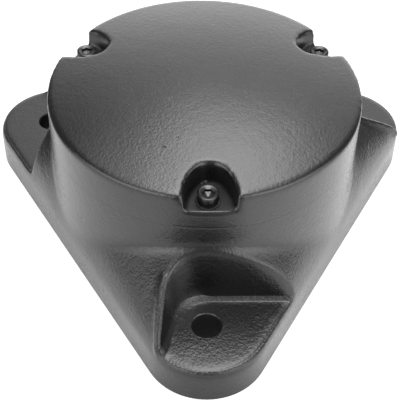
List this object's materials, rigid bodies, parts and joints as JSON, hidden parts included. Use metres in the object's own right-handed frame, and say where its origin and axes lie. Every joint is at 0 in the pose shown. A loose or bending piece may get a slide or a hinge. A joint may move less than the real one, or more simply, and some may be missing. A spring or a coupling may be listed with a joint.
{
  "type": "flanged bearing housing",
  "caption": "Three-cornered flanged bearing housing with a domed closed end, screwed rear cover and a self-aligning roller bearing on an adapter sleeve.",
  "frame": {"origin": "shaft axis at the mounting face, centre of the bolt circle", "axes": "+Z along the shaft axis towards the dome, -Y towards one flange corner"},
  "size_m": [0.2344, 0.2115, 0.0947],
  "materials": {
    "painted_iron": "semi-gloss black paint over a sand-cast skin",
    "cover_iron": "painted casting, turned faces",
    "ring_rubber": "moulded nitrile",
    "seal_rubber": "moulded nitrile",
    "black_oxide_steel": "black oxide",
    "washer_steel": "black oxide spring steel",
    "plug_brass": "turned",
    "locating_steel": "turned",
    "bearing_steel": "ground",
    "roller_steel": "superfinished",
    "cage_brass": "machined",
    "guide_iron": "turned",
    "sleeve_steel": "turned",
    "lock_washer_steel": "stamped sheet",
    "nut_steel": "phosphated"
  },
  "bodies": {
    "housing": {"housing_body": "painted_iron", "rear_cover": "cover_iron", "cover_o_ring": "ring_rubber", "shaft_seal": "seal_rubber", "cover_screws": "black_oxide_steel", "screw_washers": "washer_steel", "grease_plug": "plug_brass", "front_locating_ring": "locating_steel", "rear_locating_ring": "locating_steel", "outer_ring": "bearing_steel"},
    "shaft_set": {"inner_ring": "bearing_steel", "adapter_sleeve": "sleeve_steel", "lock_washer": "lock_washer_steel", "lock_nut": "nut_steel"},
    "roller_set": {"front_rollers": "roller_steel", "rear_rollers": "roller_steel", "front_cage": "cage_brass", "rear_cage": "cage_brass", "guide_ring": "guide_iron"}
  },
  "joints": [
    {"name": "shaft_spin", "type": "hinge", "parent": "housing", "child": "shaft_set", "pos_m": [0, 0, 0.0465], "axis": [0, 0, 1], "continuous": true},
    {"name": "roller_orbit", "type": "hinge", "parent": "housing", "child": "roller_set", "pos_m": [0, 0, 0.0465], "axis": [0, 0, 1], "continuous": true}
  ],
  "couplings": [
    {"joint": "roller_orbit", "follows": "shaft_spin", "ratio": 0.424}
  ]
}
